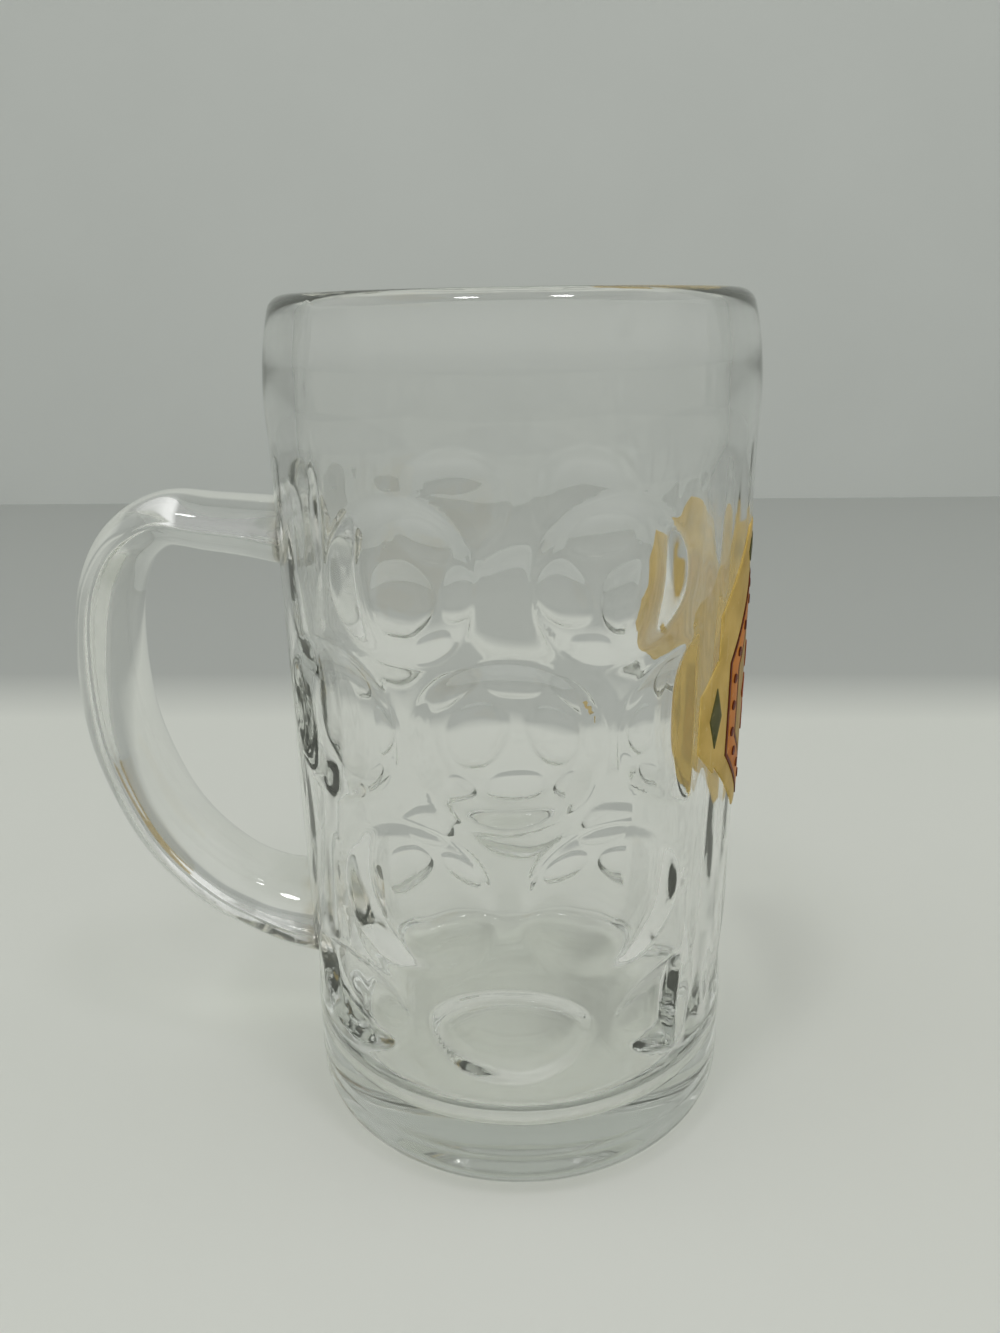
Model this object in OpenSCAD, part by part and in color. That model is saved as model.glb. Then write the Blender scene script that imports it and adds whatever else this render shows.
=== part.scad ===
// One-litre dimpled glass beer mug with a hot-applied handle and a fired enamel badge.
// Origin at the centre of the foot, +Z up, handle towards -X, badge towards +X.

/* [Body] */
// Height of the mug from the table to the top of the lip
mug_h = 200; // [170:1:240]
// Outer radius of the wall just above the heel
wall_r = 53.4; // [50:0.1:58]
// How much wider the wall is at the shoulder than at the heel, on the radius
wall_flare = 1.2; // [0:0.1:2.5]
// How far below the top of the lip the straight wall ends and the shoulder bulge begins
shoulder_drop = 34; // [30:1:36]
// How far below the top of the lip the shoulder bulge is widest
bulge_drop = 22; // [16:1:26]
// Radius of the shoulder bulge as seen from the side
bulge_r = 80; // [60:1:120]
// How far the bulge stands out past the line of the wall
bulge_out = 0.3; // [0:0.1:1.2]
// Rounding on the outside of the lip
lip_r = 4; // [3:0.1:5]
// Rounding on the inside of the lip
lip_in_r = 2; // [1:0.1:3]
// Rounding of the heel between foot and wall
heel_r = 9; // [6:0.1:14]
// Height of the shallow groove round the foot
groove_z = 40; // [34:1:46]
// Depth of the shallow groove
groove_depth = 0.7; // [0.3:0.1:1.5]
// Radius of the groove's curve
groove_r = 100; // [60:1:200]

/* [Inside] */
// Thickness of the plain wall at the shoulder
wall_t = 6.4; // [5.5:0.1:8]
// Extra thickness of the wall at the floor
wall_taper = 0.6; // [0:0.1:2]
// Height of the inner floor over the table
floor_z = 13; // [11:0.1:22]
// Rounding between the inner floor and the wall
corner_r = 14; // [8:0.5:20]
// Height below the lip where the mouth starts to draw in
mouth_drop = 15; // [10:0.5:22]

/* [Foot] */
// Inner radius of the ring that the mug stands on
foot_in_r = 40.5; // [30:0.5:41]
// Depth of the hollow under the mug
punt_depth = 1.6; // [0.8:0.1:3]

/* [Dimples] */
// Angle from one dimple of a row to the next
dimple_pitch = 45; // [43:0.5:47]
// Height of the middle of the row just over the floor
foot_row_z = 45.2; // [44:0.1:47]
// Height of the middle of the lower row
low_row_z = 77.5; // [74:0.5:80]
// Height of the middle of the centre row
mid_row_z = 114.5; // [112:0.5:117]
// Height of the middle of the upper row
top_row_z = 147; // [146:0.5:149]
// Half height of a dimple of the row over the floor
foot_half_h = 12.7; // [10:0.1:13]
// Half height of a lower dimple
low_half_h = 18; // [15:0.1:18.5]
// Half height of a centre dimple
mid_half_h = 18.2; // [16:0.1:20]
// Half height of an upper dimple
top_half_h = 16.2; // [13:0.1:16.5]
// Half width of a dimple of the row over the floor, along the wall
foot_half_w = 18.8; // [15:0.1:19]
// Half width of a lower dimple along the wall
low_half_w = 18.6; // [15:0.1:19]
// Half width of a centre dimple along the wall
mid_half_w = 20; // [16:0.1:20.2]
// Half width of an upper dimple along the wall
top_half_w = 17; // [14:0.1:18]
// Depth of a dimple of the row over the floor
foot_depth = 3.8; // [3:0.1:4]
// Depth of a lower dimple
low_depth = 4; // [2.5:0.1:4.5]
// Depth of a centre dimple
mid_depth = 4.4; // [2.5:0.1:4.8]
// Depth of an upper dimple
top_depth = 3.6; // [2.5:0.1:4.2]
// Thickness of the glass at the bottom of each dimple
dimple_wall = 4; // [3.4:0.1:5]

/* [Handle] */
// How far the middle line of the handle stands out from the wall
handle_out = 46; // [38:0.5:56]
// Height of the middle of the handle's lower root
root_low_z = 46.4; // [44:0.2:50]
// Height of the middle of the handle's upper root
root_top_z = 147.8; // [144:0.2:151]
// Thickness of the handle where its lower curve bends in, seen from the side
handle_t = 18.6; // [14:0.1:21]
// Width of the handle across the fingers
handle_w = 24; // [18:0.5:27]
// Width of the flare where the handle is pressed on the wall
root_w = 31; // [27:0.5:34]

/* [Badge] */
// Half angle of the smooth panel that holds the badge
panel_half = 45; // [44:0.5:46]
// Height of the middle of the badge's octagon
badge_z = 112; // [110.5:0.5:114]
// Half width of the enamel ground's octagon along the wall
ground_half_w = 33; // [31.5:0.1:34]
// Height of the enamel ground above the middle of the badge
ground_up = 39.3; // [38.5:0.1:41]
// Depth of the enamel ground below the middle of the badge
ground_down = 28; // [27.6:0.1:31]
// Half width of the cross band of the ground along the wall
band_half_w = 40; // [38:0.1:40.5]
// Half height of the cross band of the ground
band_half_h = 13; // [10:0.1:15]
// Outer half width of the octagon frame along the wall
frame_half_w = 27.4; // [26:0.1:27.8]
// Width of the octagon frame's bar
frame_bar = 7; // [5:0.1:8]
// Thickness of the enamel ground
ground_t = 0.3; // [0.2:0.05:0.5]
// Thickness of each colour laid on the ground
colour_t = 0.25; // [0.2:0.05:0.4]

/* [Hidden] */
$fn = 96;
// Overrun of every cut past the face that it leaves through
over = 2;

// Heights of the shoulder and of the bulge's widest place
shoulder_z = mug_h - shoulder_drop;
bulge_z = mug_h - bulge_drop;
// Radius of the straight outer wall at a height
wall_slope = wall_flare / (shoulder_z - heel_r);
function wall_at(z) = wall_r + wall_slope * (z - heel_r);
// Widest radius, at the top of the bulge
max_r = wall_at(bulge_z) + bulge_out;
// Middle of the bulge's curve, and of the lip's rounding that touches it from inside
bulge_c = max_r - bulge_r;
lip_z = mug_h - lip_r;
lip_c = bulge_c + sqrt(pow(bulge_r - lip_r, 2) - pow(lip_z - bulge_z, 2));
// Radii of the cavity at the lip, the shoulder and the floor
mouth_r = lip_c - lip_in_r;
mouth_z = mug_h - mouth_drop;
inner_top_r = wall_at(shoulder_z) - wall_t;
inner_low_r = inner_top_r - wall_flare - wall_taper;
inner_slope = (inner_top_r - inner_low_r) / (shoulder_z - floor_z);
function inner_at(z) = inner_low_r + inner_slope * (z - floor_z);

// Outer outline of the body, on the right of the axis
module outer_outline() {
    foot_out_r = wall_r - heel_r;
    square([foot_out_r, heel_r]);
    translate([foot_out_r, heel_r]) circle(heel_r);
    polygon([[0, heel_r], [wall_r, heel_r], [wall_at(bulge_z), bulge_z], [0, bulge_z]]);
    translate([0, heel_r]) square([lip_c, mug_h - heel_r]);
    translate([lip_c, lip_z]) circle(lip_r);
    intersection() {
        translate([bulge_c, bulge_z]) circle(bulge_r, $fn = 4 * $fn);
        bulge_patch();
    }
}

// The part of the bulge's circle that belongs to the outline, up to where the lip's rounding takes over
module bulge_patch() {
    to_lip = bulge_r / (bulge_r - lip_r);
    touch = [bulge_c + to_lip * (lip_c - bulge_c), bulge_z + to_lip * (lip_z - bulge_z)];
    polygon([[0, shoulder_z], [max_r + over, shoulder_z], [max_r + over, touch[1]], touch,
             [lip_c, lip_z], [0, lip_z]]);
}

// Body without dimples, groove or cavity, which the handle and the badge sit on
module outer_body() {
    rotate_extrude()
        intersection() {
            outer_outline();
            square([max_r + over, mug_h]);
        }
}

// Outline of the cavity, from the inner floor out through the mouth
module cavity_outline() {
    flat_r = inner_at(floor_z + corner_r) - corner_r;
    lip_in_z = mug_h - lip_in_r;
    polygon([[0, floor_z], [flat_r, floor_z], [flat_r, floor_z + corner_r],
             [inner_at(floor_z + corner_r), floor_z + corner_r], [inner_at(mouth_z), mouth_z],
             [mouth_r, lip_in_z], [mouth_r, mug_h + over], [0, mug_h + over]]);
    translate([flat_r, floor_z + corner_r]) circle(corner_r);
    difference() {
        translate([mouth_r - over, lip_in_z]) square([lip_in_r + over, lip_in_r + over]);
        translate([lip_c, lip_in_z]) circle(lip_in_r);
    }
}

// A barrel-shaped form that leaves a dimple of the given half width, half height and depth in the wall.
// grow makes the same form bigger all over, for the bump inside the wall, and keep is the share of the
// dimple's round that the form covers.
module dimple_form(half_w, half_h, depth, z, grow = 0, keep = 1) {
    r = wall_at(z);
    turn = half_w / r * 180 / PI;
    chord = r * sin(turn);
    sag = r * cos(turn) - (r - depth);
    across_r = (chord * chord + sag * sag) / (2 * sag);
    up_r = (half_h * half_h + depth * depth) / (2 * depth);
    cover_r = keep * (max(chord, half_h) + dimple_margin);
    reach = asin((cover_r + dimple_margin) / (across_r - cover_r));
    intersection() {
        translate([r - depth + across_r, 0, z])
            rotate([0, 0, 180 - reach])
                rotate_extrude(angle = 2 * reach)
                    translate([across_r - up_r, 0]) circle(up_r + grow, $fn = 2 * $fn);
        translate([r - depth - grow - over, 0, z])
            rotate([0, 90, 0]) cylinder(h = depth + grow + 2 * over, r = cover_r);
    }
}
// How far a dimple's form runs on round its outline
dimple_margin = 0.6;

// The badge's smooth panel, a quarter of the wall that no dimple reaches into
module panel_sector() {
    rotate([0, 0, -panel_half])
        rotate_extrude(angle = 2 * panel_half)
            square([2 * max_r, mug_h]);
}

// All dimple forms, on the front, -Y, and on the back: two in the lower and the upper row, and three in the
// centre row and the row over the floor. The outer dimple on the badge's side stops at its panel.
module dimple_forms(grow = 0, keep = 1) {
    for (side = [-90, 90]) {
        for (turn = [-dimple_pitch / 2, dimple_pitch / 2]) {
            rotate([0, 0, side + turn]) dimple_form(low_half_w, low_half_h, low_depth, low_row_z, grow, keep);
            rotate([0, 0, side + turn]) dimple_form(top_half_w, top_half_h, top_depth, top_row_z, grow, keep);
        }
        rotate([0, 0, side]) three_row_forms(grow, keep);
        rotate([0, 0, side + sign(side) * dimple_pitch]) three_row_forms(grow, keep);
        difference() {
            rotate([0, 0, side - sign(side) * dimple_pitch]) three_row_forms(grow, keep);
            panel_sector();
        }
    }
}

// The two dimples that stand over each other at one angle, in the centre row and the row over the floor
module three_row_forms(grow, keep) {
    dimple_form(mid_half_w, mid_half_h, mid_depth, mid_row_z, grow, keep);
    dimple_form(foot_half_w, foot_half_h, foot_depth, foot_row_z, grow, keep);
}

// Shallow domed hollow under the mug
module punt() {
    cap_r = (foot_in_r * foot_in_r + punt_depth * punt_depth) / (2 * punt_depth);
    intersection() {
        translate([0, 0, punt_depth - cap_r]) sphere(cap_r, $fn = 4 * $fn);
        translate([0, 0, -over]) cylinder(h = 2 * over + punt_depth, r = foot_in_r + over);
    }
}

// Share of each dimple's round that its bump inside the wall takes up
bump_share = 0.8;
module mug_body() {
    color([0.78, 0.83, 0.80])
    difference() {
        outer_body();
        groove();
        dimple_forms();
        punt();
        difference() {
            rotate_extrude() cavity_outline();
            dimple_forms(dimple_wall, bump_share);
        }
    }
}

// Shallow groove round the wall above the heel
module groove() {
    rotate_extrude()
        translate([wall_at(groove_z) - groove_depth + groove_r, groove_z]) circle(groove_r, $fn = 4 * $fn);
}

// Places of the handle's middle line: share of the reach outwards, share of the height between the roots,
// share of the greatest thickness, and share of the way from the handle's width to the root's flare
handle_shares = [
    [-0.11, 0.995, 0.86, 1.0],
    [0.00, 1.000, 0.81, 0.85],
    [0.16, 1.010, 0.77, 0.30],
    [0.36, 1.020, 0.73, 0.04],
    [0.60, 1.030, 0.69, -0.05],
    [0.79, 0.985, 0.70, -0.05],
    [0.91, 0.905, 0.745, 0.0],
    [0.975, 0.800, 0.78, 0.0],
    [1.00, 0.637, 0.83, 0.0],
    [0.97, 0.478, 0.88, 0.0],
    [0.85, 0.308, 0.93, 0.0],
    [0.70, 0.190, 0.97, 0.0],
    [0.48, 0.090, 1.00, 0.05],
    [0.26, 0.034, 1.03, 0.25],
    [0.05, 0.005, 1.13, 0.80],
    [-0.11, 0.000, 1.20, 1.0]];
// Steps between two places of the middle line, and corners of the handle's oval section
handle_steps = 3;
handle_sides = 28;

// Smooth curve through the four values that surround a stretch, at share t of that stretch
function between(a, b, c, d, t) =
    b + 0.5 * t * ((c - a) + t * ((2 * a - 5 * b + 4 * c - d) + t * (3 * (b - c) + d - a)));
function clamp(i) = max(0, min(len(handle_shares) - 1, i));
function handle_at(u) = let (i = floor(u), t = u - i)
    between(handle_shares[clamp(i - 1)], handle_shares[clamp(i)],
            handle_shares[clamp(i + 1)], handle_shares[clamp(i + 2)], t);

root_r = wall_at(root_top_z);
function line_at(s) = [-(root_r + handle_out * s[0]), root_low_z + (root_top_z - root_low_z) * s[1]];

handle_count = (len(handle_shares) - 1) * handle_steps + 1;
function ring_at(n) = let (
        u = n / handle_steps,
        s = handle_at(u),
        p = line_at(s),
        ahead = line_at(handle_at(min(u + 0.5 / handle_steps, len(handle_shares) - 1))),
        behind = line_at(handle_at(max(u - 0.5 / handle_steps, 0))),
        along = (ahead - behind) / norm(ahead - behind),
        out = [-along[1], along[0]],
        half_t = handle_t * s[2] / 2,
        half_w = (handle_w + (root_w - handle_w) * s[3]) / 2)
    [for (k = [0 : handle_sides - 1]) let (
        a = 360 * k / handle_sides,
        o = half_t * cos(a),
        w = half_w * sin(a))
        [p[0] + out[0] * o, w, p[1] + out[1] * o]];

// The handle's whole sweep, with both ends running on into the wall
module handle_sweep() {
    points = [for (n = [0 : handle_count - 1]) each ring_at(n)];
    last = handle_count - 1;
    sides = [for (n = [0 : last - 1]) for (k = [0 : handle_sides - 1]) let (
        m = (k + 1) % handle_sides,
        a = n * handle_sides + k,
        b = n * handle_sides + m,
        c = (n + 1) * handle_sides + m,
        d = (n + 1) * handle_sides + k)
        each [[a, c, b], [a, d, c]]];
    start = [for (k = [0 : handle_sides - 1]) k];
    end = [for (k = [handle_sides - 1 : -1 : 0]) last * handle_sides + k];
    polyhedron(points, concat(sides, [start, end]));
}

module handle() {
    color([0.80, 0.85, 0.82])
    difference() {
        handle_sweep();
        outer_body();
    }
}

// Thin skin of the wall round the badge, from one distance over the glass to another
module skin(from, to) {
    rotate([0, 0, -panel_half])
        rotate_extrude(angle = 2 * panel_half)
            intersection() {
                difference() {
                    translate([to, 0]) outer_outline();
                    translate([from, 0]) outer_outline();
                }
                translate([0, badge_z - ground_down - over])
                    square([2 * max_r, ground_up + ground_down + 2 * over]);
            }
}

// Sideways place in the flat drawing of a length measured along the wall
badge_r = wall_at(badge_z);
function across(s) = badge_r * sin(s / badge_r * 180 / PI);

// Drawing stood up on the badge's side of the mug and pressed outwards through the wall
module stand() {
    rotate([90, 0, 90]) linear_extrude(2 * max_r) children();
}

// Octagon of the badge, from half width, half height and cut corner
module octagon(half_w, half_h, cut) {
    w = across(half_w);
    c = across(half_w - cut);
    polygon([[-w, -half_h + cut], [-c, -half_h], [c, -half_h], [w, -half_h + cut],
             [w, half_h - cut], [c, half_h], [-c, half_h], [-w, half_h - cut]]);
}

// The frame's octagon, drawn in by an inset that keeps its bar even
frame_cut_share = 0.6;
frame_cut = frame_cut_share * frame_half_w;
module frame_outline(inset) {
    octagon(frame_half_w - inset, frame_half_w - inset, frame_cut - inset * (2 - sqrt(2)));
}

module badge_ground() {
    color([0.74, 0.60, 0.33])
    intersection() {
        skin(0, ground_t);
        stand() ground_outline();
    }
}

// Octagon with a taller top, and a cross band, both with their corners cut by half
ground_cut_share = 0.5;
module ground_outline() {
    half_h = (ground_up + ground_down) / 2;
    translate([0, badge_z + half_h - ground_down])
        octagon(ground_half_w, half_h, ground_cut_share * ground_half_w);
    translate([0, badge_z]) octagon(band_half_w, band_half_h, ground_cut_share * band_half_h);
}

module badge_frame() {
    color([0.85, 0.44, 0.14])
    intersection() {
        skin(ground_t, ground_t + colour_t);
        stand() translate([0, badge_z]) difference() {
            frame_outline(line_w);
            frame_outline(frame_bar - line_w);
        }
    }
}

// Width of the dark lines along the frame's edges
line_w = 0.9;
module badge_frame_lines() {
    color([0.42, 0.16, 0.08])
    intersection() {
        skin(ground_t, ground_t + colour_t);
        stand() translate([0, badge_z]) for (inset = [0, frame_bar - line_w])
            difference() {
                frame_outline(inset);
                frame_outline(inset + line_w);
            }
    }
}

// A drawing set square to the wall at a sideways place and height
module place(s, z) {
    rotate([0, 0, s / badge_r * 180 / PI]) translate([badge_r - over, 0, z])
        rotate([90, 0, 90]) linear_extrude(2 * over) children();
}

// Dots that stand in the frame's bar, along each of its straight sides
dot_r = 1.1;
dots_a_side = 3;
module badge_frame_dots() {
    color([0.42, 0.16, 0.08])
    intersection() {
        skin(ground_t + colour_t, ground_t + 2 * colour_t);
        for (k = [0 : 7]) for (n = [0 : dots_a_side - 1]) dot_on_side(k, n);
    }
}

// One dot: side k of the octagon, n-th place along it
module dot_on_side(k, n) {
    mid = frame_half_w - frame_bar / 2;
    corner_cut = frame_cut - frame_bar / 2 * (2 - sqrt(2));
    straight = k % 2 == 0;
    away = straight ? mid : (2 * mid - corner_cut) / sqrt(2);
    span = straight ? 2 * (mid - corner_cut) : corner_cut * sqrt(2);
    slide = span * ((n + 0.5) / dots_a_side - 0.5);
    a = 45 * k;
    place(away * cos(a) - slide * sin(a), badge_z + away * sin(a) + slide * cos(a)) circle(dot_r);
}

// Gap between two colours that lie side by side
colour_gap = 0.4;
module badge_field() {
    color([0.86, 0.74, 0.42])
    intersection() {
        skin(ground_t, ground_t + colour_t);
        stand() translate([0, badge_z]) frame_outline(frame_bar + colour_gap);
    }
}

// Rosette: petals round a heart
petal_count = 8;
petal_in = 4.2;
petal_len = 11;
petal_w = 5.6;
module badge_petals() {
    color([0.80, 0.33, 0.12])
    intersection() {
        skin(ground_t + colour_t, ground_t + 2 * colour_t);
        stand() translate([0, badge_z]) for (k = [0 : petal_count - 1])
            rotate([0, 0, 360 / petal_count * k]) petal();
    }
}

// Pointed oval from two arcs, lying along the first axis
module petal() {
    half = petal_len / 2;
    arc_r = (half * half + petal_w * petal_w / 4) / petal_w;
    translate([petal_in + half, 0]) intersection() {
        translate([0, arc_r - petal_w / 2]) circle(arc_r);
        translate([0, petal_w / 2 - arc_r]) circle(arc_r);
    }
}

module badge_heart() {
    color([0.36, 0.20, 0.10])
    intersection() {
        skin(ground_t + colour_t, ground_t + 2 * colour_t);
        place(0, badge_z) circle(petal_in - colour_gap);
    }
}

// Upright lozenges on the cross band, on both sides of the frame
lozenge_half_w = 2.6;
lozenge_half_h = 7;
module badge_lozenges() {
    color([0.42, 0.46, 0.28])
    intersection() {
        skin(ground_t, ground_t + colour_t);
        for (side = [-1, 1])
            place(side * (frame_half_w + band_half_w) / 2, badge_z) lozenge(lozenge_half_w, lozenge_half_h);
    }
}

module lozenge(half_w, half_h) {
    polygon([[-half_w, 0], [0, -half_h], [half_w, 0], [0, half_h]]);
}

// Row of small lozenges over the frame
crest_count = 5;
crest_pitch = 7;
crest_half = 2.6;
module badge_crest() {
    color([0.50, 0.46, 0.36])
    intersection() {
        skin(ground_t, ground_t + colour_t);
        for (n = [0 : crest_count - 1])
            place((n - (crest_count - 1) / 2) * crest_pitch, badge_z + (frame_half_w + ground_up) / 2)
                lozenge(crest_half, crest_half);
    }
}

mug_body();
handle();
badge_ground();
badge_frame();
badge_frame_lines();
badge_frame_dots();
badge_field();
badge_petals();
badge_heart();
badge_lozenges();
badge_crest();
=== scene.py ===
import math
import bpy
import bmesh
from mathutils import Matrix, Vector, noise as wander


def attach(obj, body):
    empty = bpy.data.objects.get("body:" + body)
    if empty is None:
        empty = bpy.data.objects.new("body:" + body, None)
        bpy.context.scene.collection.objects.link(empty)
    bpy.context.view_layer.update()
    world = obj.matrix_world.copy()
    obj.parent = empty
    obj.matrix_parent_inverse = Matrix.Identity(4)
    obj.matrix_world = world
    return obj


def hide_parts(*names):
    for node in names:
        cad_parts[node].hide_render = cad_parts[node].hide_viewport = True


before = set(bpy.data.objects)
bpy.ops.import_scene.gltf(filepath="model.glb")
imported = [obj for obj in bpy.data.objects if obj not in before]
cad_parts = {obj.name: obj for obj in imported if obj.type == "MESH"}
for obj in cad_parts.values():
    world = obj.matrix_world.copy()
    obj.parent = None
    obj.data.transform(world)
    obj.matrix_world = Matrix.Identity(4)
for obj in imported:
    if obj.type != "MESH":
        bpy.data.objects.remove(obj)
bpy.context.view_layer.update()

# Body of the mug: one thick piece of clear soda-lime glass, blown in a mould of four parts and a bottom
# plate. The mould gives it four staggered rows of round hollows, four faint upright seams, a fine raised
# line over the rounded heel, and a domed foot.
MM = 0.001
MUG_H = 200.0
HEEL_R = 9.0
WALL_R, WALL_FLARE = 53.4, 1.2
SHOULDER_Z, BULGE_Z, BULGE_R, BULGE_OUT = 166.0, 178.0, 80.0, 0.3
LIP_R, LIP_IN_R = 4.0, 2.0
GROOVE_Z, GROOVE_DEPTH, GROOVE_HALF = 40.0, 0.7, 15.0
WALL_T, WALL_TAPER, FLOOR_Z, CORNER_R, MOUTH_Z = 6.4, 0.6, 13.0, 14.0, 185.0
FOOT_R, PUNT_DEPTH = 40.5, 1.6
FOOT_EDGE_IN, FOOT_EDGE_OUT, FOOT_EDGE_UP = 0.5, 0.6, 0.08
PARTING_Z, PARTING_HALF, PARTING_OUT = 13.2, 0.6, 0.12
COLUMNS = 360
FINE, COARSE = 1.1, 2.4
HEEL_STEPS, LIP_STEPS, LIP_IN_STEPS, CORNER_STEPS = 14, 8, 6, 12
PUNT_RADII = (0, 8, 15, 21, 27, 32, 36)
MOUTH_SHARES = (0.85, 0.7, 0.55, 0.4, 0.25, 0.1)
FLOOR_SHARES = (0.8, 0.6, 0.4, 0.2, 0)
# The wall has hollows above a height, and its faces are told apart by how far out they lie
HOLLOWS_FROM = 30
OUTER_FROM_R, INNER_FROM_R = 49.4, 40


def wall_at(z):
    """Radius of the plain outer wall at a height."""
    return WALL_R + WALL_FLARE * (z - HEEL_R) / (SHOULDER_Z - HEEL_R)


def arc(mid_r, mid_z, r, start, end, steps):
    """Points of an arc in the half plane of the profile, from one angle to another."""
    angles = [math.radians(start + (end - start) * k / steps) for k in range(steps + 1)]
    return [(mid_r + r * math.cos(a), mid_z + r * math.sin(a)) for a in angles]


def heights(start, end, step):
    """Evenly spaced heights from start up or down to, but not including, end."""
    count = max(1, round(abs(end - start) / step))
    return [start + (end - start) * k / count for k in range(count)]


bulge_mid = wall_at(BULGE_Z) + BULGE_OUT - BULGE_R
lip_z = MUG_H - LIP_R
lip_mid = bulge_mid + math.sqrt((BULGE_R - LIP_R) ** 2 - (lip_z - BULGE_Z) ** 2)
lip_angle = math.degrees(math.atan2(lip_z - BULGE_Z, lip_mid - bulge_mid))
bulge_top = BULGE_Z + BULGE_R * math.sin(math.radians(lip_angle))
inner_top = wall_at(SHOULDER_Z) - WALL_T
inner_low = inner_top - WALL_FLARE - WALL_TAPER


def inner_at(z):
    """Radius of the plain inner wall at a height."""
    return inner_low + (inner_top - inner_low) * (z - FLOOR_Z) / (SHOULDER_Z - FLOOR_Z)


def outer_at(z):
    """Radius of the outer wall with its groove and its shoulder bulge."""
    r = wall_at(z)
    if abs(z - GROOVE_Z) < GROOVE_HALF:
        r -= GROOVE_DEPTH * math.cos(math.pi / 2 * (z - GROOVE_Z) / GROOVE_HALF) ** 2
    if z > SHOULDER_Z:
        bulge = bulge_mid + math.sqrt(BULGE_R ** 2 - (z - BULGE_Z) ** 2)
        r = bulge if z > BULGE_Z else max(r, bulge)
    return r


def punt_at(r):
    """Height of the shallow dome under the mug at a radius."""
    dome_r = (FOOT_R ** 2 + PUNT_DEPTH ** 2) / (2 * PUNT_DEPTH)
    return PUNT_DEPTH - dome_r + math.sqrt(dome_r ** 2 - r ** 2)


flat_r = inner_at(FLOOR_Z + CORNER_R) - CORNER_R
mouth_r = lip_mid - LIP_IN_R
profile = [(r, punt_at(r)) for r in PUNT_RADII]
profile += [(FOOT_R - FOOT_EDGE_IN, FOOT_EDGE_UP), (FOOT_R + FOOT_EDGE_OUT, 0)]
profile += [((FOOT_R + WALL_R - HEEL_R) / 2, 0)]
profile += arc(WALL_R - HEEL_R, HEEL_R, HEEL_R, -90, 0, HEEL_STEPS)[:-1]
profile += [(outer_at(z), z) for z in heights(HEEL_R, PARTING_Z - PARTING_HALF, COARSE)]
profile += [(outer_at(PARTING_Z + up) + out, PARTING_Z + up)
            for up, out in ((-PARTING_HALF, 0), (0, PARTING_OUT), (PARTING_HALF, 0))]
profile += [(outer_at(z), z) for z in heights(PARTING_Z + COARSE, HOLLOWS_FROM, COARSE)]
profile += [(outer_at(z), z) for z in heights(HOLLOWS_FROM, SHOULDER_Z, FINE)]
profile += [(outer_at(z), z) for z in heights(SHOULDER_Z, bulge_top, COARSE)]
profile += arc(lip_mid, lip_z, LIP_R, lip_angle, 90, LIP_STEPS)
profile += arc(lip_mid, MUG_H - LIP_IN_R, LIP_IN_R, 90, 180, LIP_IN_STEPS)[1:]
profile += [(inner_at(MOUTH_Z) + (mouth_r - inner_at(MOUTH_Z)) * t * t * (3 - 2 * t),
             MOUTH_Z + (MUG_H - LIP_IN_R - MOUTH_Z) * t) for t in MOUTH_SHARES]
profile += [(inner_at(z), z) for z in heights(MOUTH_Z, FLOOR_Z + CORNER_R, COARSE)]
profile += arc(flat_r, FLOOR_Z + CORNER_R, CORNER_R, 0, -90, CORNER_STEPS)
profile += [(flat_r * share, FLOOR_Z) for share in FLOOR_SHARES]

# The profile is spun once round the mug's axis
body_mesh = bmesh.new()
profile_verts = [body_mesh.verts.new((r, 0, z)) for r, z in profile]
profile_edges = [body_mesh.edges.new(pair) for pair in zip(profile_verts, profile_verts[1:])]
bmesh.ops.spin(body_mesh, geom=profile_verts + profile_edges, cent=(0, 0, 0), axis=(0, 0, 1),
               angle=math.tau, steps=COLUMNS, use_merge=True)
bmesh.ops.remove_doubles(body_mesh, verts=body_mesh.verts, dist=0.001)

# Rows of hollows on the front and the back: turns from the middle of the side, height, half width along the
# wall, half height, depth, how far the wall inside follows, and the power that makes the bowl's rim steep
HOLLOW_ROWS = (
    ((-45, 0, 45), 45.2, 18.8, 12.6, 3.8, 0.8, 3.2),
    ((-22.5, 22.5), 77.5, 18.6, 18.0, 4.0, 1.2, 2.6),
    ((-45, 0, 45), 114.4, 20.1, 17.8, 4.4, 1.2, 2.6),
    ((-22.5, 22.5), 147.0, 17.0, 16.2, 3.6, 1.2, 2.6))
# Half angle of the smooth panel for the badge, which cuts off the hollows beside it
PANEL_HALF, PANEL_LINE, PANEL_EASE = 45.0, 0.01, 8.0
RIM_SOFT = 0.10


def beside(angle, middle):
    """Degrees from a middle direction round to an angle, from -180 to 180."""
    return (angle - middle + 180) % 360 - 180


def hollows_at(angle, z):
    """How far the hollows push in the outer wall and the inner wall, at an angle and a height."""
    outside = inside = 0.0
    for turns, row_z, half_w, half_h, depth, follow, power in HOLLOW_ROWS:
        up = (z - row_z) / half_h
        for middle in [side + turn for side in (-90, 90) for turn in turns]:
            around = math.radians(beside(angle, middle)) * wall_at(row_z) / half_w
            level = 1 - (up ** 2 + around ** 2) ** (power / 2)
            if level < -RIM_SOFT:
                continue
            bowl = level if level > RIM_SOFT else (level + RIM_SOFT) ** 2 / (4 * RIM_SOFT)
            past_panel = abs(angle) - PANEL_HALF
            by_panel = abs(middle) == PANEL_HALF
            if not by_panel or past_panel > PANEL_LINE:
                outside += depth * bowl
            ease = min(1, max(0, past_panel / PANEL_EASE + 0.5)) if by_panel else 1
            inside += follow * ease * max(0, level) ** 2
    return outside, inside


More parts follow.
